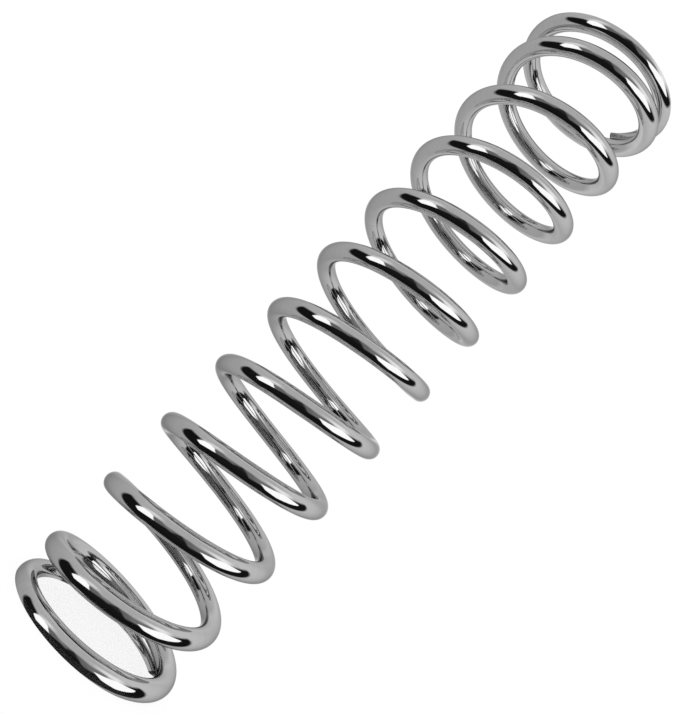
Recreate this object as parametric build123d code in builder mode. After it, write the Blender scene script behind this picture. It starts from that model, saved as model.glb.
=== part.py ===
from build123d import *
from math import cos, pi, sin
import os

# Coilover suspension spring, wound right handed from one length of round chromed wire.
# Frame: Z is the coil's axis, the lower ground face lies on Z = 0 and the lower wire tip is on +X.

# Driving dimensions, in millimetres where the name doesn't say turns
seat_diameter = 63.5        # 2.5 inch spring register that the coil drops over
seat_clearance = 1.0        # on diameter, between that register and the inside of the coil
wire_diameter = 9.0
free_length = 350.0         # between the two ground end faces
total_turns = 12.06         # from wire tip to wire tip
tip_turns = 0.40            # stretch at each end that is wound at the tip pitch
ramp_turns = 1.50           # stretch over which the pitch then opens up to that of the body
tip_gap = 0.25              # between each wire tip and the coil that it closes onto
tip_thickness = 2.0         # what the grinding leaves of the wire at its tip
path_points_per_turn = 10   # the winding path is a smooth curve through these

# Sizes that follow from them
wire_radius = wire_diameter / 2
coil_radius = (seat_diameter + seat_clearance + wire_diameter) / 2
grinding_depth = wire_radius - tip_thickness
closing_climb = wire_diameter + tip_gap


def opened_turns(turns: float) -> float:
    """Turns at the body's pitch that add the same height as the opened part of this many turns."""
    past_tip = max(turns - tip_turns, 0)
    ramp_share = min(past_tip / ramp_turns, 1)
    past_ramp = max(past_tip - ramp_turns, 0)
    return ramp_turns * (ramp_share**3 - ramp_share**4 / 2) + past_ramp


# The first turn climbs closing_climb, so that the tip closes onto its neighbour, and all the turns
# together climb the free length and what is ground away. Both hold for one pair of pitches.
closed_turns = (total_turns - 2 * opened_turns(total_turns / 2)) / (1 - opened_turns(1))
body_climb = free_length + 2 * grinding_depth - closed_turns * closing_climb
body_pitch = body_climb / (total_turns - closed_turns)
tip_pitch = (closing_climb - body_pitch * opened_turns(1)) / (1 - opened_turns(1))


def climb_from_tip(turns: float) -> float:
    """Height between a wire tip and the wire this many turns from it, up to the middle."""
    return tip_pitch * turns + (body_pitch - tip_pitch) * opened_turns(turns)


def wire_height(turns: float) -> float:
    """Height of the wire's centre this many turns after the lower tip, both ends being alike."""
    if turns <= total_turns / 2:
        return climb_from_tip(turns) - grinding_depth
    return free_length + grinding_depth - climb_from_tip(total_turns - turns)


def wire_centre(turns: float) -> tuple[float, float, float]:
    """Point on the wire's centre line this many turns after the lower tip."""
    angle = 2 * pi * turns
    return (coil_radius * cos(angle), coil_radius * sin(angle), wire_height(turns))


path_steps = round(total_turns * path_points_per_turn)
path_points = [wire_centre(total_turns * step / path_steps) for step in range(path_steps + 1)]

# The coil spring, one solid: the wire swept along its winding path, then both ends ground flat
with BuildPart() as coil_spring:
    with BuildLine() as winding:
        Spline(*path_points)
    with BuildSketch(Plane(origin=winding.line @ 0, z_dir=winding.line % 0)):
        Circle(wire_radius)
    sweep(is_frenet=True)
    split(bisect_by=Plane.XY, keep=Keep.TOP)
    split(bisect_by=Plane.XY.offset(free_length), keep=Keep.BOTTOM)

coil_spring.part.label = "coil_spring"

os.makedirs("parts", exist_ok=True)
export_step(coil_spring.part, "parts/coil_spring.step")
print(f"body pitch {body_pitch:.2f} mm, tip pitch {tip_pitch:.2f} mm")
print(f"volume {coil_spring.part.volume / 1000:.2f} cm3")
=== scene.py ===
"""Looks of a chromed coilover spring: its wound wire, its polished finish, and the studio that it mirrors."""

import logging
import math
from dataclasses import dataclass, field
from enum import Enum
from typing import ClassVar, Union

import bmesh
import bpy
from mathutils import Matrix, Vector


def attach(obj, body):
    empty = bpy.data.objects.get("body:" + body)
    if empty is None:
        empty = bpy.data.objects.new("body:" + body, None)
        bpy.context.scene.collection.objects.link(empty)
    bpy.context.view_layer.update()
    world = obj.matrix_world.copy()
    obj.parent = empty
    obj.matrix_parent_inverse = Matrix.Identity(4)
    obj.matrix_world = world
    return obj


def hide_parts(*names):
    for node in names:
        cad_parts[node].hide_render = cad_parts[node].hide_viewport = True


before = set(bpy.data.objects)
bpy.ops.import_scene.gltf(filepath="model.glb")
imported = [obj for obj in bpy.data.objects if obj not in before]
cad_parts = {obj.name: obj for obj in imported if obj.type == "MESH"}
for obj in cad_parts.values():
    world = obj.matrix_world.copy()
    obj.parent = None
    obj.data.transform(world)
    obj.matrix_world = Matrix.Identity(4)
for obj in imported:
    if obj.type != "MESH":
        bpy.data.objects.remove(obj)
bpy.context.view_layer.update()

log = logging.getLogger("coilover_spring")

MM = 0.001
WHITE = (1.0, 1.0, 1.0, 1.0)
RIM_TINT = 0.50  # What the metal keeps near its rim of the light that a plain mirror would give back
NOISE_MIDDLE = 0.5  # The value that a noise varies about
Number = Union["Signal", float]
Value = Union[Number, bpy.types.NodeSocket, Vector, tuple, str]
Outline = tuple[tuple[float, float], ...]


@dataclass(frozen=True)
class Signal:
    """A number that flows through a node tree, on which plain arithmetic adds Math nodes."""

    tree: bpy.types.NodeTree
    socket: bpy.types.NodeSocket

    def math(self, operation: str, *others: Number) -> "Signal":
        """Adds one Math node.

        Args:
            operation: The node's operation, such as ADD.
            *others: The operands after this number.

        Returns:
            The node's result.
        """
        node = self.tree.nodes.new("ShaderNodeMath")
        node.operation = operation
        for place, value in enumerate((self, *others)):
            plug(self.tree, value, node.inputs[place])
        return Signal(self.tree, node.outputs[0])

    def __add__(self, other: Number) -> "Signal":
        """The sum."""
        return self.math("ADD", other)

    def __sub__(self, other: Number) -> "Signal":
        """The difference."""
        return self.math("SUBTRACT", other)

    def __mul__(self, other: Number) -> "Signal":
        """The product."""
        return self.math("MULTIPLY", other)

    def __truediv__(self, other: Number) -> "Signal":
        """The quotient."""
        return self.math("DIVIDE", other)

    def __rsub__(self, other: float) -> "Signal":
        """What is left of a plain number after this one is taken off."""
        return self.math("MULTIPLY", -1.0).math("ADD", other)

    def blended(self, target: Number, share: "Signal") -> "Signal":
        """Moves this number towards another.

        Args:
            target: The number that it reaches where the share is 1.
            share: How far it moves, from 0 to 1.

        Returns:
            The blend of the two.
        """
        return self + share * (target - self)

    def stepped(self, start: Number, end: Number) -> "Signal":
        """Rises smoothly from 0 to 1 while this number goes from start to end.

        Args:
            start: Where the rise begins.
            end: Where it is complete, which may be lower than start.

        Returns:
            The share, from 0 to 1.
        """
        node = self.tree.nodes.new("ShaderNodeMapRange")
        node.interpolation_type = "SMOOTHSTEP"
        plug(self.tree, self, node.inputs["Value"])
        plug(self.tree, start, node.inputs["From Min"])
        plug(self.tree, end, node.inputs["From Max"])
        return Signal(self.tree, node.outputs["Result"])


def plug(tree: bpy.types.NodeTree, value: Value, socket: bpy.types.NodeSocket) -> None:
    """Gives a socket its value, by a link where the value is worked out in the tree.

    Args:
        tree: The tree that holds the socket.
        value: A signal, a node's output or a plain value.
        socket: The input that takes it.
    """
    if isinstance(value, Signal):
        tree.links.new(value.socket, socket)
    elif isinstance(value, bpy.types.NodeSocket):
        tree.links.new(value, socket)
    else:
        socket.default_value = value


def add_node(tree: bpy.types.NodeTree, kind: str, inputs: dict | None = None, **settings) -> bpy.types.Node:
    """Adds a node with its settings and inputs.

    Args:
        tree: The tree to add it to.
        kind: The node's type name.
        inputs: Values or outputs by the name of the input that takes them.
        **settings: The node's own properties.

    Returns:
        The new node.
    """
    node = tree.nodes.new(kind)
    for name, value in settings.items():
        setattr(node, name, value)
    for name, value in (inputs or {}).items():
        plug(tree, value, node.inputs[name])
    return node


def vector_math(tree: bpy.types.NodeTree, operation: str, *operands: Value) -> bpy.types.Node:
    """Adds one Vector Math node.

    Args:
        tree: The tree to add it to.
        operation: The node's operation, such as NORMALIZE.
        *operands: The vectors that it works on.

    Returns:
        The new node.
    """
    node = add_node(tree, "ShaderNodeVectorMath", operation=operation)
    for place, value in enumerate(operands):
        plug(tree, value, node.inputs[place])
    return node


def lean(tree: bpy.types.NodeTree, direction: bpy.types.NodeSocket, axis: Vector) -> Signal:
    """How far a direction leans along an axis, as the dot product of the two."""
    return Signal(tree, vector_math(tree, "DOT_PRODUCT", direction, axis).outputs["Value"])


def noise(tree: bpy.types.NodeTree, place: bpy.types.NodeSocket, scale: tuple[float, ...]) -> Signal:
    """Adds a noise whose grain has its own length along each axis.

    Args:
        tree: The tree to add it to.
        place: The coordinates, in metres.
        scale: Grains in a metre, along each axis.

    Returns:
        The noise, from 0 to 1.
    """
    scaled = vector_math(tree, "MULTIPLY", place, scale).outputs["Vector"]
    made = add_node(tree, "ShaderNodeTexNoise", {"Vector": scaled, "Scale": 1.0, "Detail": 2.0})
    return Signal(tree, made.outputs[0])


def new_object(name: str, shape: bmesh.types.BMesh, material: bpy.types.Material) -> bpy.types.Object:
    """Puts a shape in the scene.

    Args:
        name: The object's name.
        shape: The shape, which is freed.
        material: What all of it is made of.

    Returns:
        The new object.
    """
    mesh = bpy.data.meshes.new(name)
    shape.to_mesh(mesh)
    shape.free()
    mesh.materials.append(material)
    made = bpy.data.objects.new(name, mesh)
    bpy.context.scene.collection.objects.link(made)
    return made


def new_metal(name: str) -> tuple[bpy.types.Material, bpy.types.NodeTree, bpy.types.Node]:
    """Starts a material of bare metal, which mirrors less at its rim, so that turns keep an outline on white.

    Args:
        name: The material's name.

    Returns:
        The material, its tree and its shader.
    """
    made = bpy.data.materials.new(name)
    made.use_nodes = True
    shader = made.node_tree.nodes["Principled BSDF"]
    shader.inputs["Metallic"].default_value = 1.0
    shader.inputs["Specular Tint"].default_value = (RIM_TINT, RIM_TINT, RIM_TINT, 1.0)
    return made, made.node_tree, shader


class Lay(Enum):
    """Which way fine marks run, given by the axes of their coordinates that they are fine across."""

    ROUND_THE_WIRE = (False, False, True)
    ALONG_THE_WIRE = (True, True, False)
    ACROSS_THE_FACE = (True, False, False)


@dataclass(frozen=True)
class FineMarks:
    """Fine parallel marks that a die, a belt, a wheel or a shear leaves in metal."""

    lay: Lay
    spacing: float
    length: float
    depth: float
    shade: float

    def pattern(self, tree: bpy.types.NodeTree, place: bpy.types.NodeSocket) -> Signal:
        """Where the marks are.

        Args:
            tree: The material's tree.
            place: The coordinates that the marks follow, in metres.

        Returns:
            The marks, from 0 to 1.
        """
        scale = tuple(1 / (self.spacing if fine else self.length) for fine in self.lay.value)
        return noise(tree, place, scale)


def mark_metal(
    tree: bpy.types.NodeTree,
    shader: bpy.types.Node,
    place: bpy.types.NodeSocket,
    marks: tuple[FineMarks, ...],
    reflectance: float,
) -> None:
    """Cuts marks into a metal and lets them shade it.

    Args:
        tree: The material's tree.
        shader: The metal's shader.
        place: The coordinates that the marks follow, in metres.
        marks: The sets of marks.
        reflectance: What the metal mirrors on average.
    """
    height = 0.0
    shade = 1.0
    for each in marks:
        pattern = each.pattern(tree, place)
        height = pattern * each.depth + height
        shade = shade - (pattern - NOISE_MIDDLE) * each.shade
    plug(tree, shade * reflectance, shader.inputs["Base Color"])
    bump = add_node(tree, "ShaderNodeBump", {"Height": height, "Distance": 1.0})
    tree.links.new(bump.outputs["Normal"], shader.inputs["Normal"])


@dataclass(frozen=True)
class ChromePlate:
    """Polished chrome on drawn wire: a mirror with faint marks round and along the wire."""

    name: str = "chrome_plate"
    reflectance: float = 0.57
    roughness: float = 0.035
    clouding: float = 0.025
    cloud_size: float = 6 * MM
    marks: tuple[FineMarks, ...] = (
        FineMarks(Lay.ROUND_THE_WIRE, spacing=0.8 * MM, length=7 * MM, depth=0.0002 * MM, shade=0.14),
        FineMarks(Lay.ALONG_THE_WIRE, spacing=0.45 * MM, length=30 * MM, depth=0.0006 * MM, shade=0.05),
    )

    def material(self) -> bpy.types.Material:
        """Builds the material.

        Returns:
            A material that reads the wire's own unrolled coordinates.
        """
        made, tree, shader = new_metal(self.name)
        wire = add_node(tree, "ShaderNodeAttribute", attribute_name=WindingTree.UNROLLED).outputs["Vector"]
        mark_metal(tree, shader, wire, self.marks, self.reflectance)
        cloud = noise(tree, wire, (1 / self.cloud_size,) * 3)
        plug(tree, cloud * self.clouding + self.roughness, shader.inputs["Roughness"])
        return made


@dataclass(frozen=True)
class GroundFace:
    """The flat end faces under the same plate, which keep the straight marks of the grinding wheel."""

    name: str = "ground_face"
    reflectance: float = 0.50
    roughness: float = 0.20
    patchiness: float = 0.12
    patch_size: float = 4 * MM
    marks: tuple[FineMarks, ...] = (
        FineMarks(Lay.ACROSS_THE_FACE, spacing=0.16 * MM, length=18 * MM, depth=0.010 * MM, shade=0.22),
    )

    def material(self) -> bpy.types.Material:
        """Builds the material.

        Returns:
            A satin metal with fine straight grinding marks.
        """
        made, tree, shader = new_metal(self.name)
        place = add_node(tree, "ShaderNodeTexCoord").outputs["Object"]
        mark_metal(tree, shader, place, self.marks, self.reflectance)
        patch = noise(tree, place, (1 / self.patch_size,) * 3)
        plug(tree, patch * self.patchiness + self.roughness, shader.inputs["Roughness"])
        return made


@dataclass(frozen=True)
class ShearedShadedTip:
    """The wire's tips, rough from the shear and darkened to a painted shade, with a few bright spots."""

    name: str = "sheared_shaded_tip"
    # Far below what the plate mirrors: a painted shade on the cut end and its rounded edge
    reflectance: float = 0.09
    roughness: float = 0.30
    # On the spring's own coordinates, which this finish reads, these marks lie level
    marks: tuple[FineMarks, ...] = (
        FineMarks(Lay.ROUND_THE_WIRE, spacing=0.5 * MM, length=2.5 * MM, depth=0.15 * MM, shade=1.2),
    )

    def material(self) -> bpy.types.Material:
        """Builds the material.

        Returns:
            A torn metal, darkened to a painted shade.
        """
        made, tree, shader = new_metal(self.name)
        place = add_node(tree, "ShaderNodeTexCoord").outputs["Object"]
        mark_metal(tree, shader, place, self.marks, self.reflectance)
        shader.inputs["Roughness"].default_value = self.roughness
        return made


class WireEnd(Enum):
    """The two ends of the coil, by the way that their ground face looks along the axis."""

    LOWER = -1
    UPPER = 1


@dataclass(frozen=True)
class Winding:
    """Sizes of the coil and the rule of its pitch, which is close at the tips and opens up to the body."""

    coil_radius: float = 36.75 * MM
    wire_radius: float = 4.5 * MM
    free_length: float = 350 * MM
    total_turns: float = 12.06
    tip_turns: float = 0.40
    ramp_turns: float = 1.50
    tip_gap: float = 0.25 * MM
    tip_thickness: float = 2.0 * MM
    tip_rounding: float = 1.2 * MM

    @property
    def grinding_depth(self) -> float:
        """How far beyond the ground face the wire's centre lies at its tip."""
        return self.wire_radius - self.tip_thickness

    def opened_turns(self, turns: float) -> float:
        """Turns at the body's pitch that add the same height as the opened part of this many turns.

        Args:
            turns: Turns from a wire tip.

        Returns:
            The opened turns among them.
        """
        ramp_share = min(max(turns - self.tip_turns, 0) / self.ramp_turns, 1)
        past_ramp = max(turns - self.tip_turns - self.ramp_turns, 0)
        return self.ramp_turns * (ramp_share**3 - ramp_share**4 / 2) + past_ramp

    @property
    def closed_turns(self) -> float:
        """Turns at both ends together that count as closed."""
        return (self.total_turns - 2 * self.opened_turns(self.total_turns / 2)) / (1 - self.opened_turns(1))

    @property
    def closing_climb(self) -> float:
        """Height of the first turn, which closes the tip onto its neighbour."""
        return 2 * self.wire_radius + self.tip_gap

    @property
    def body_pitch(self) -> float:
        """Climb of one turn in the body."""
        climb = self.free_length + 2 * self.grinding_depth - self.closed_turns * self.closing_climb
        return climb / (self.total_turns - self.closed_turns)

    @property
    def tip_pitch(self) -> float:
        """Climb of one turn at the pitch of the tips."""
        opened = self.opened_turns(1)
        return (self.closing_climb - self.body_pitch * opened) / (1 - opened)


class WindingTree:
    """The Geometry Nodes tree that bends a straight wire into the coil and grinds its ends flat."""

    NAME: ClassVar[str] = "wound_wire"
    UNROLLED: ClassVar[str] = "straight_wire"
    # Faces of the cut ends and their rounded edges, which take the painted shade
    SHEARED_SHADED: ClassVar[str] = "sheared"
    FLOATS: ClassVar[tuple[str, ...]] = (
        "Coil Radius", "Wire Radius", "Total Turns", "Tip Turns", "Ramp Turns",
        "Tip Pitch", "Body Pitch", "Tip Rounding", "Free Length", "Grinding Depth",
    )
    INTEGERS: ClassVar[tuple[str, ...]] = ("Sides", "Steps", "Rounding Steps")
    MATERIALS: ClassVar[tuple[str, ...]] = ("Plate", "Ground Face", "Sheared Shaded Tip")
    SHARP_ANGLE: ClassVar[float] = math.radians(30)
    WHEEL_SIZE: ClassVar[float] = 180 * MM
    WHEEL_THICKNESS: ClassVar[float] = 60 * MM
    HALF_ROD: ClassVar[float] = 0.5  # Half the length of the plain rod that the wire is made from, in metres

    def __init__(self) -> None:
        """Builds the tree."""
        self.tree = bpy.data.node_groups.new(self.NAME, "GeometryNodeTree")
        self.tree.interface.new_socket("Geometry", in_out="OUTPUT", socket_type="NodeSocketGeometry")
        for names, kind in ((self.FLOATS, "Float"), (self.INTEGERS, "Int"), (self.MATERIALS, "Material")):
            for name in names:
                self.tree.interface.new_socket(name, in_out="INPUT", socket_type=f"NodeSocket{kind}")
        self.sizes = self.tree.nodes.new("NodeGroupInput")
        self.round_run = self.size("Coil Radius") * math.tau
        self.outward, self.across, place = self.rod_position()
        self.turns, self.slimming, self.at_tip = self.spread_rings(place)
        wire = self.straight_wire()
        coil = self.bend(wire)
        ground = self.grind(coil)
        self.finish(ground)

    def size(self, name: str) -> Signal:
        """One of the tree's named sizes."""
        return Signal(self.tree, self.sizes.outputs[name])

    def coated(self, geometry: bpy.types.NodeSocket, material: str) -> bpy.types.NodeSocket:
        """Gives a whole mesh one of the tree's materials.

        Args:
            geometry: The mesh.
            material: The name of the input that holds the material.

        Returns:
            The mesh with that material.
        """
        node = add_node(self.tree, "GeometryNodeSetMaterial", {
            "Geometry": geometry,
            "Material": self.sizes.outputs[material],
        })
        return node.outputs["Geometry"]

    def straight_wire(self) -> bpy.types.NodeSocket:
        """Makes the wire as it was before winding, standing on end, one metre long.

        Returns:
            The mesh, which keeps each point's place on the straight wire and which faces lie at a tip, for
            the painted shade there.
        """
        rod = add_node(self.tree, "GeometryNodeMeshCylinder", {
            "Vertices": self.size("Sides"),
            "Side Segments": self.size("Steps"),
            "Radius": self.size("Wire Radius"),
            "Depth": 2 * self.HALF_ROD,
        })
        straight = add_node(self.tree, "ShaderNodeCombineXYZ", {
            "X": self.outward,
            "Y": self.across,
            "Z": self.turns * self.round_run,
        })
        kept = add_node(self.tree, "GeometryNodeStoreNamedAttribute", {
            "Geometry": self.coated(rod.outputs["Mesh"], "Plate"),
            "Name": self.UNROLLED,
            "Value": straight.outputs[0],
        }, data_type="FLOAT_VECTOR", domain="POINT")
        marked = add_node(self.tree, "GeometryNodeStoreNamedAttribute", {
            "Geometry": kept.outputs["Geometry"],
            "Name": self.SHEARED_SHADED,
            "Value": self.at_tip,
        }, data_type="BOOLEAN", domain="FACE")
        return marked.outputs["Geometry"]

    def rod_position(self) -> tuple[Signal, Signal, Signal]:
        """Reads each point's place on the plain rod.

        Returns:
            Its two places across the rod, and its place along the rod from the middle.
        """
        position = add_node(self.tree, "GeometryNodeInputPosition")
        parts = add_node(self.tree, "ShaderNodeSeparateXYZ", {"Vector": position.outputs[0]})
        return tuple(Signal(self.tree, out) for out in parts.outputs)

    def spread_rings(self, place: Signal) -> tuple[Signal, Signal, Signal]:
        """Spreads the rings of points along the wire, a few of them round the edge of each tip.

        Args:
            place: Place along the plain rod, from its middle.

        Returns:
            Turns from the lower tip, the share of its full width that the wire has there, and 1 at a tip.
        """
        from_end = self.HALF_ROD - place.math("ABSOLUTE")
        edge_share = self.size("Rounding Steps") / self.size("Steps")
        angle = (from_end / edge_share).math("MINIMUM", 1.0) * (math.pi / 2)
        rounding = self.size("Tip Rounding")
        slimming = 1.0 - (1.0 - angle.math("SINE")) * rounding / self.size("Wire Radius")
        past_edge = (from_end - edge_share).math("MAXIMUM", 0.0) / (self.HALF_ROD - edge_share)
        half_length = self.size("Total Turns") * self.round_run * 0.5
        along = (1.0 - angle.math("COSINE")) * rounding + past_edge * (half_length - rounding)
        from_tip = along / self.round_run
        upper = place.math("GREATER_THAN", 0.0)
        turns = from_tip + upper * (self.size("Total Turns") - from_tip * 2.0)
        return turns, slimming, from_end.math("LESS_THAN", edge_share)

    def height_and_pitch(self) -> tuple[Signal, Signal]:
        """Works out where along the coil's axis the wire's centre lies.

        Returns:
            The height of the wire's centre, and its climb in one turn there.
        """
        from_other_tip = self.size("Total Turns") - self.turns
        from_tip = self.turns.math("MINIMUM", from_other_tip)
        in_lower_half = self.turns.math("LESS_THAN", from_other_tip)
        past_tip = (from_tip - self.size("Tip Turns")).math("MAXIMUM", 0.0)
        share = (past_tip / self.size("Ramp Turns")).math("MINIMUM", 1.0)
        past_ramp = (past_tip - self.size("Ramp Turns")).math("MAXIMUM", 0.0)
        cube = share * share * share
        opened = (cube - cube * share * 0.5) * self.size("Ramp Turns") + past_ramp
        pitch_gain = self.size("Body Pitch") - self.size("Tip Pitch")
        climb = self.size("Tip Pitch") * from_tip + pitch_gain * opened
        from_face = climb - self.size("Grinding Depth")
        height = (self.size("Free Length") - from_face).blended(from_face, in_lower_half)
        pitch = self.size("Tip Pitch") + pitch_gain * share.stepped(0.0, 1.0)
        return height, pitch

    def bend(self, wire: bpy.types.NodeSocket) -> bpy.types.NodeSocket:
        """Winds the straight wire, right handed, about the Z axis.

        Args:
            wire: The straight wire.

        Returns:
            The coil, with both tips still full round.
        """
        outward = self.outward * self.slimming
        across = self.across * self.slimming
        height, pitch = self.height_and_pitch()
        angle = self.turns * math.tau
        cosine = angle.math("COSINE")
        sine = angle.math("SINE")
        slant = (self.round_run * self.round_run + pitch * pitch).math("SQRT")
        along = self.round_run / slant
        rise = pitch / slant
        radius = self.size("Coil Radius") + outward
        sideways = across * rise
        x = radius * cosine - sideways * sine
        y = radius * sine + sideways * cosine
        z = height - across * along
        bent = add_node(self.tree, "ShaderNodeCombineXYZ", {"X": x, "Y": y, "Z": z})
        moved = add_node(self.tree, "GeometryNodeSetPosition", {
            "Geometry": wire,
            "Position": bent.outputs[0],
        })
        return moved.outputs["Geometry"]

    def wheel(self, end: WireEnd) -> bpy.types.NodeSocket:
        """Puts a flat grinding wheel against one end of the coil.

        Args:
            end: The end that it grinds.

        Returns:
            The wheel's block.
        """
        block = add_node(self.tree, "GeometryNodeMeshCube", {
            "Size": (self.WHEEL_SIZE, self.WHEEL_SIZE, self.WHEEL_THICKNESS),
        })
        face = self.size("Free Length") * float(end is WireEnd.UPPER)
        lift = add_node(self.tree, "ShaderNodeCombineXYZ", {"Z": face + end.value * self.WHEEL_THICKNESS / 2})
        placed = add_node(self.tree, "GeometryNodeTransform", {
            "Geometry": self.coated(block.outputs["Mesh"], "Ground Face"),
            "Translation": lift.outputs[0],
        })
        return placed.outputs["Geometry"]

    def grind(self, coil: bpy.types.NodeSocket) -> bpy.types.NodeSocket:
        """Cuts both ends flat, square to the axis.

        Args:
            coil: The coil with round tips.

        Returns:
            The coil between its two ground faces.
        """
        wheels = add_node(self.tree, "GeometryNodeJoinGeometry")
        for end in WireEnd:
            self.tree.links.new(self.wheel(end), wheels.inputs["Geometry"])
        cut = add_node(self.tree, "GeometryNodeMeshBoolean", {"Mesh 1": coil},
                       operation="DIFFERENCE", solver="MANIFOLD")
        self.tree.links.new(wheels.outputs["Geometry"], cut.inputs["Mesh 2"])
        return cut.outputs["Mesh"]

    def finish(self, coil: bpy.types.NodeSocket) -> None:
        """Shades the round wire smooth, keeps the ground edges sharp and gives the tips their painted shade.

        Args:
            coil: The finished shape.
        """
        angle = add_node(self.tree, "GeometryNodeInputMeshEdgeAngle")
        sharp = Signal(self.tree, angle.outputs["Unsigned Angle"]).math("GREATER_THAN", self.SHARP_ANGLE)
        smooth = add_node(self.tree, "GeometryNodeSetShadeSmooth", {"Geometry": coil, "Shade Smooth": True},
                          domain="FACE")
        edges = add_node(self.tree, "GeometryNodeStoreNamedAttribute", {
            "Geometry": smooth.outputs["Geometry"],
            "Name": "sharp_edge",
            "Value": sharp,
        }, data_type="BOOLEAN", domain="EDGE")
        sheared = add_node(self.tree, "GeometryNodeInputNamedAttribute", {"Name": self.SHEARED_SHADED},
                           data_type="BOOLEAN")
        whole = add_node(self.tree, "GeometryNodeRealizeInstances", {"Geometry": edges.outputs["Geometry"]})
        tipped = add_node(self.tree, "GeometryNodeSetMaterial", {
            "Geometry": whole.outputs["Geometry"],
            "Selection": sheared.outputs["Attribute"],
            "Material": self.sizes.outputs["Sheared Shaded Tip"],
        })
        output = self.tree.nodes.new("NodeGroupOutput")
        self.tree.links.new(tipped.outputs["Geometry"], output.inputs["Geometry"])

    def apply(self, name: str, values: dict) -> bpy.types.Object:
        """Runs the tree once and keeps its result as a plain mesh.

        Args:
            name: The piece's name.
            values: The tree's inputs by name.

        Returns:
            The finished piece, with no modifier left on it.
        """
        piece = bpy.data.objects.new(name, bpy.data.meshes.new(name))
        bpy.context.scene.collection.objects.link(piece)
        modifier = piece.modifiers.new(self.NAME, "NODES")
        modifier.node_group = self.tree
        for item in self.tree.interface.items_tree:
            if item.in_out == "INPUT":
                modifier[item.identifier] = values[item.name]
        graph = bpy.context.evaluated_depsgraph_get()
        mesh = bpy.data.meshes.new_from_object(piece.evaluated_get(graph), depsgraph=graph)
        piece.modifiers.remove(modifier)
        empty = [slot for slot, material in enumerate(mesh.materials) if material is None]
        for slot in reversed(empty):
            mesh.materials.pop(index=slot)
        mesh.name = name
        piece.data = mesh
        return piece


@dataclass
class CoilSpring:
    """The spring itself, one length of wound wire."""

    winding: Winding = field(default_factory=Winding)
    plate: ChromePlate = field(default_factory=ChromePlate)
    ground_face: GroundFace = field(default_factory=GroundFace)
    sheared_shaded_tip: ShearedShadedTip = field(default_factory=ShearedShadedTip)
    sides: int = 36
    steps_per_turn: int = 180
    rounding_steps: int = 6

    def build(self) -> bpy.types.Object:
        """Winds the wire and has it stand for the CAD node.

        Returns:
            The finished piece.
        """
        winding = self.winding
        sizes = {
            "Coil Radius": winding.coil_radius,
            "Wire Radius": winding.wire_radius,
            "Total Turns": winding.total_turns,
            "Tip Turns": winding.tip_turns,
            "Ramp Turns": winding.ramp_turns,
            "Tip Pitch": winding.tip_pitch,
            "Body Pitch": winding.body_pitch,
            "Tip Rounding": winding.tip_rounding,
            "Free Length": winding.free_length,
            "Grinding Depth": winding.grinding_depth,
            "Sides": self.sides,
            "Steps": round(winding.total_turns * self.steps_per_turn),
            "Rounding Steps": self.rounding_steps,
        }
        piece = WindingTree().apply("chrome_coil", {**sizes, **self.finishes()})
        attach(piece, "root")
        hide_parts("coil_spring")
        return piece

    def finishes(self) -> dict[str, bpy.types.Material]:
        """Makes the spring's three finishes.

        Returns:
            The materials, by the tree's inputs.
        """
        return {
            "Plate": self.plate.material(),
            "Ground Face": self.ground_face.material(),
            "Sheared Shaded Tip": self.sheared_shaded_tip.material(),
        }


@dataclass(frozen=True)
class PhotoCamera:
    """The camera, close to the spring and rolled so that the coil runs from corner to corner.

    Its azimuth and elevation, which give the way back from the spring to it, and its roll are in
    degrees. The width of its sensor is in millimetres. Its place, aim and lens come from a
    least-squares fit to the outline of the spring in the photo.
    """

    position: tuple[float, float, float] = (-128.3 * MM, -310.6 * MM, 110.4 * MM)
    azimuth: float = -19.30
    elevation: float = -9.87
    roll: float = 43.06
    focal_pixels: float = 734.8
    centre_pixel: tuple[float, float] = (327.5, 315.6)
    picture: tuple[int, int] = (683, 714)
    sensor: float = 36.0
    nearest: float = 10 * MM

    @property
    def turned(self) -> Matrix:
        """How the camera is turned.

        Returns:
            A rotation whose columns are the camera's right, its up and the way back from the spring to it.
        """
        azimuth = math.radians(self.azimuth)
        elevation = math.radians(self.elevation)
        back = Vector((
            math.sin(azimuth) * math.cos(elevation),
            -math.cos(azimuth) * math.cos(elevation),
            math.sin(elevation),
        ))
        level = (-back).to_track_quat("-Z", "Y").to_matrix()
        return level @ Matrix.Rotation(math.radians(self.roll), 3, "Z")

    def towards(self, off_axis: float, clock: float) -> Vector:
        """Direction from the spring that is given as the camera sees it.

        Args:
            off_axis: Degrees away from the way back to the camera.
            clock: Degrees clockwise from the top of the picture.

        Returns:
            A unit vector in the spring's frame.
        """
        off = math.radians(off_axis)
        turn = math.radians(clock)
        seen = Vector((math.sin(off) * math.sin(turn), math.sin(off) * math.cos(turn), math.cos(off)))
        return self.turned @ seen

    def view_outline(self, margin: float) -> Outline:
        """Corners of all that the picture takes in behind the spring.

        Args:
            margin: Degrees added on every side.

        Returns:
            The corners, anticlockwise, in degrees to the camera's left and up from the way it looks.
        """
        across, down = self.centre_pixel
        pixels = (self.picture[0] - across, across, self.picture[1] - down, down)
        angles = [math.degrees(math.atan(part / self.focal_pixels)) + margin for part in pixels]
        right, left, below, above = angles
        return ((-right, -below), (left, -below), (left, above), (-right, above))

    def build(self) -> bpy.types.Object:
        """Makes it the scene's camera.

        Returns:
            The camera object.
        """
        data = bpy.data.cameras.new("photo_camera")
        long_side = max(self.picture)
        data.sensor_width = self.sensor
        data.lens = self.sensor * self.focal_pixels / long_side
        data.shift_x = (self.picture[0] / 2 - self.centre_pixel[0]) / long_side
        data.shift_y = (self.centre_pixel[1] - self.picture[1] / 2) / long_side
        data.clip_start = self.nearest
        camera = bpy.data.objects.new("photo_camera", data)
        camera.matrix_world = Matrix.Translation(self.position) @ self.turned.to_4x4()
        bpy.context.scene.collection.objects.link(camera)
        bpy.context.scene.camera = camera
        return camera


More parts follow.
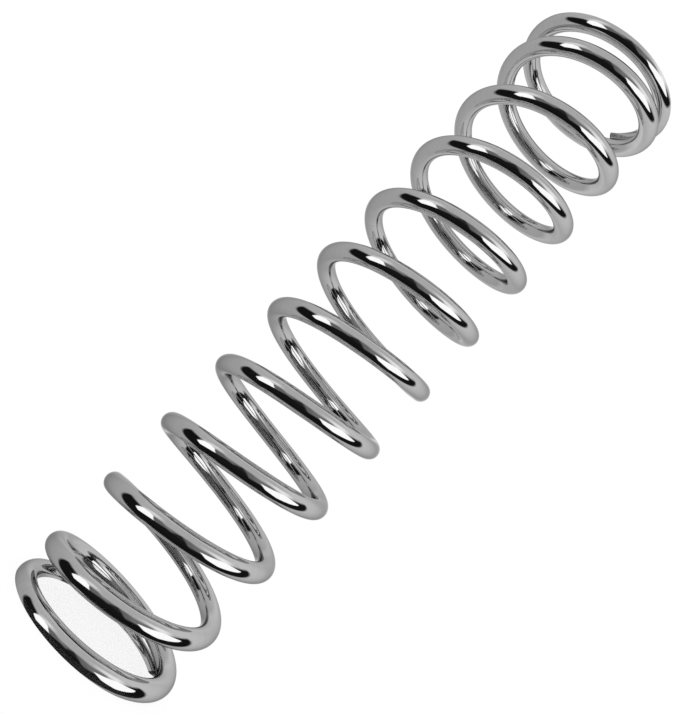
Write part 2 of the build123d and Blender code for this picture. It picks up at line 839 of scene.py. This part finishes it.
@dataclass(frozen=True)
class Panel:
    """A softbox, glow or flag hung flat before the studio's walls.

    Its middle is given in degrees off the way back to the camera and degrees clockwise from the top
    of the picture. Its corners go round it anticlockwise, in degrees to the side and up from there.
    """

    name: str
    off_axis: float
    clock: float
    corners: Outline
    brightness: float
    softness: float


@dataclass(frozen=True)
class DarkSide:
    """The unlit half of the room, which ends where the white sweep behind the spring begins.

    Both its axes are given as a panel's middle is. Its edge is the cosine of the angle from the first
    of them, and the sweep begins at an angle in degrees from the second.
    """

    leans_to: tuple[float, float] = (105, 218)
    edge: float = -0.29
    edge_softness: float = 0.10
    sweep_axis: tuple[float, float] = (4.6, 90)
    sweep_angle: float = 93.7
    sweep_softness: float = 6.0
    brightness: float = 0.010


@dataclass
class StudioWalls:
    """The walls of the studio, which the metal mirrors, open behind the spring to the white background."""

    camera: PhotoCamera
    dark_side: DarkSide = field(default_factory=DarkSide)
    radius: float = 1.0
    sectors: int = 96
    bands: int = 48
    middle: tuple[float, float, float] = (0.0, 0.0, 175 * MM)
    opening_margin: float = 1.0
    opening_softness: float = 30.0
    left_brightness: float = 0.57
    right_brightness: float = 0.86
    side_fade: float = 0.9
    front_brightness: float = 0.66
    front_fade: float = 0.2
    least_facing: float = 0.05
    # These numbers aren't chosen by hand. A least-squares fit to the grey levels of the metal in the photo
    # gave the panels' corners and most of their levels, the bare walls' levels and where the dark side lies
    panels: tuple[Panel, ...] = (
        Panel("middle_gap", 0, 0, ((-16.5, -28.0), (28.0, -28.0), (24.0, 12.0), (-12.0, 28.0)), 0.21, 20.0),
        Panel("upper_gap", 25, 318, ((-21.0, -10.0), (5.0, -9.0), (5.0, 17.0), (-10.0, 20.0)), 0.20, 9.0),
        Panel("right_gap", 26, 122, ((-18.0, -13.5), (4.0, -25.0), (28.0, 5.0), (-4.0, 15.0)), 0.26, 8.0),
        Panel("lower_drape", 32, 236, ((10.7, -25.5), (32.0, 18.0), (-16.0, 21.0), (-24.0, 0.0)), 0.013, 4.5),
        Panel("right_glow", 60, 97, ((-7.0, -20.0), (7.2, -17.4), (22.5, 6.0), (-15.0, 20.0)), 1.36, 24.0),
        Panel("upper_glow", 50, 345, ((-24.5, -4.5), (5.0, -4.5), (8.5, 15.0), (-9.5, 14.0)), 1.18, 18.0),
        Panel("right_softbox", 52, 143, (
            (-21.5, 16.0), (-21.7, -13.5), (-10.0, -26.5), (24.0, -15.0), (32.5, -7.5), (22.0, 20.5),
        ), 1.70, 2.0),
        Panel("left_softbox", 49, 303, (
            (8.0, -15.0), (13.0, 12.5), (7.0, 21.0), (-3.0, 18.5), (-17.5, -5.0), (-18.0, -19.0),
        ), 1.70, 2.0),
        Panel("camera_front", 3, 330, ((-11.5, -1.0), (1.5, -17.0), (13.0, 15.5), (-6.0, 6.5)), 0.03, 6.0),
    )

    def build(self) -> bpy.types.Object:
        """Puts the walls round the set, where only mirrored rays meet them.

        Returns:
            The walls, which only mirrored rays meet.
        """
        shell = bmesh.new()
        bmesh.ops.create_uvsphere(shell, u_segments=self.sectors, v_segments=self.bands, radius=self.radius)
        bmesh.ops.translate(shell, vec=self.middle, verts=shell.verts)
        walls = new_object("studio_walls", shell, self.material())
        walls.visible_camera = False
        walls.visible_diffuse = False
        walls.visible_shadow = False
        return walls

    @property
    def opening(self) -> Panel:
        """The opening behind the spring, as wide as the picture, where the white background shows."""
        corners = self.camera.view_outline(self.opening_margin)
        return Panel("opening", 180, 0, corners, brightness=1.0, softness=self.opening_softness)

    def direction(self, tree: bpy.types.NodeTree) -> bpy.types.NodeSocket:
        """Works out which way a point of the walls lies from the spring.

        Args:
            tree: The tree that works it out.

        Returns:
            The output that gives the direction, as a unit vector.
        """
        place = add_node(tree, "ShaderNodeTexCoord").outputs["Object"]
        from_middle = vector_math(tree, "SUBTRACT", place, self.middle).outputs["Vector"]
        return vector_math(tree, "NORMALIZE", from_middle).outputs["Vector"]

    def panel_mask(self, tree: bpy.types.NodeTree, direction: bpy.types.NodeSocket, panel: Panel) -> Signal:
        """Where a panel hangs.

        Args:
            tree: The tree that works it out.
            direction: The output that gives the direction from the spring.
            panel: The softbox, glow or flag.

        Returns:
            One on the panel and nought off it, with its softness between.
        """
        axis = self.camera.towards(panel.off_axis, panel.clock)
        side = Vector(self.camera.turned.col[1]).cross(axis).normalized()
        rise = axis.cross(side)
        corners = [Vector([math.tan(math.radians(angle)) for angle in corner]) for corner in panel.corners]
        facing = lean(tree, direction, axis)
        depth = facing.math("MAXIMUM", self.least_facing)
        mask = facing.math("GREATER_THAN", self.least_facing)
        soft = math.radians(panel.softness) / 2
        for start, end in zip(corners, corners[1:] + corners[:1]):
            run = (end - start).normalized()
            inward = Vector((-run.y, run.x))
            plane = side * inward.x + rise * inward.y - axis * inward.dot(start)
            mask = mask * (lean(tree, direction, plane) / depth).stepped(-soft, soft)
        mask.socket.node.label = panel.name
        return mask

    def wall_light(self, tree: bpy.types.NodeTree, direction: bpy.types.NodeSocket) -> Signal:
        """Works out the brightness of the bare walls, which are paler on the right.

        Args:
            tree: The tree that works it out.
            direction: The output that gives the direction from the spring.

        Returns:
            The brightness.
        """
        rightward = lean(tree, direction, Vector(self.camera.turned.col[0]))
        backward = lean(tree, direction, Vector(self.camera.turned.col[2]))
        gain = self.right_brightness - self.left_brightness
        light = rightward.stepped(-self.side_fade, self.side_fade) * gain + self.left_brightness
        return light.blended(self.front_brightness, backward.stepped(0.0, self.front_fade))

    def unlit_share(self, tree: bpy.types.NodeTree, direction: bpy.types.NodeSocket) -> Signal:
        """Works out where the dark side of the room is.

        Args:
            tree: The tree that works it out.
            direction: The output that gives the direction from the spring.

        Returns:
            One in the dark and nought in the lit part, with the soft edges between.
        """
        dark = self.dark_side
        darkward = lean(tree, direction, self.camera.towards(*dark.leans_to))
        half = darkward.stepped(dark.edge - dark.edge_softness, dark.edge + dark.edge_softness)
        ahead = lean(tree, direction, self.camera.towards(*dark.sweep_axis))
        sweep = math.cos(math.radians(dark.sweep_angle))
        soft = math.radians(dark.sweep_softness) / 2
        return half * ahead.stepped(sweep - soft, sweep + soft)

    def material(self) -> bpy.types.Material:
        """Paints the walls with what hangs before them.

        Returns:
            A material that glows at the level that each part of the studio has.
        """
        made = bpy.data.materials.new("studio_walls")
        made.use_nodes = True
        # The renderer doesn't aim light rays at the walls, because only mirrored rays meet them
        made.cycles.emission_sampling = "NONE"
        tree = made.node_tree
        tree.nodes.clear()
        direction = self.direction(tree)
        light = self.wall_light(tree, direction)
        light = light.blended(self.dark_side.brightness, self.unlit_share(tree, direction))
        for panel in self.panels:
            light = light.blended(panel.brightness, self.panel_mask(tree, direction, panel))

        glow = add_node(tree, "ShaderNodeEmission", {"Strength": light})
        clear = add_node(tree, "ShaderNodeBsdfTransparent")
        wall = add_node(tree, "ShaderNodeMixShader")
        plug(tree, self.panel_mask(tree, direction, self.opening), wall.inputs[0])
        tree.links.new(glow.outputs[0], wall.inputs[1])
        tree.links.new(clear.outputs[0], wall.inputs[2])
        output = add_node(tree, "ShaderNodeOutputMaterial")
        tree.links.new(wall.outputs[0], output.inputs["Surface"])
        return made


@dataclass
class Studio:
    """What stands round the spring: the white background, the floor and the walls."""

    camera: PhotoCamera
    floor_radius: float = 50 * MM
    floor_full_radius: float = 20 * MM
    floor_opacity: float = 0.20
    floor_segments: int = 128

    def build(self) -> None:
        """Builds the whole studio."""
        self.build_background()
        self.build_floor()
        StudioWalls(self.camera).build()

    def build_background(self) -> None:
        """Surrounds the set with plain white, which every kind of ray sees alike."""
        world = bpy.data.worlds.new("white_background")
        bpy.context.scene.world = world
        world.use_nodes = True
        shader = world.node_tree.nodes["Background"]
        shader.inputs["Color"].default_value = WHITE
        shader.inputs["Strength"].default_value = 1.0

    def build_floor(self) -> None:
        """Lays the small round floor that the spring stands on, mirrors and shades."""
        disc = bmesh.new()
        bmesh.ops.create_circle(disc, cap_ends=True, segments=self.floor_segments, radius=self.floor_radius)
        floor = new_object("floor", disc, self.floor_material())

    def floor_material(self) -> bpy.types.Material:
        """Makes the floor's thin white sheet, which fades out to nothing at its rim.

        Returns:
            A white that lets part of what is below it through.
        """
        sheet = bpy.data.materials.new("floor_sheet")
        sheet.use_nodes = True
        tree = sheet.node_tree
        shader = tree.nodes["Principled BSDF"]
        shader.inputs["Base Color"].default_value = WHITE
        shader.inputs["Roughness"].default_value = 1.0
        shader.inputs["Specular IOR Level"].default_value = 0.0
        place = add_node(tree, "ShaderNodeTexCoord").outputs["Object"]
        radius = Signal(tree, vector_math(tree, "LENGTH", place).outputs["Value"])
        opacity = radius.stepped(self.floor_radius, self.floor_full_radius) * self.floor_opacity
        plug(tree, opacity, shader.inputs["Alpha"])
        return sheet


def main() -> None:
    """Builds the spring, its studio and its camera."""
    logging.basicConfig(level=logging.INFO, format="%(name)s: %(message)s")
    bpy.context.scene.view_settings.view_transform = "Standard"
    camera = PhotoCamera()
    camera.build()
    log.info("camera at %s", camera.position)
    piece = CoilSpring().build()
    log.info("%s: %d faces", piece.name, len(piece.data.polygons))
    Studio(camera).build()
    log.info("studio: background, floor and walls")


if __name__ == "__main__":
    main()
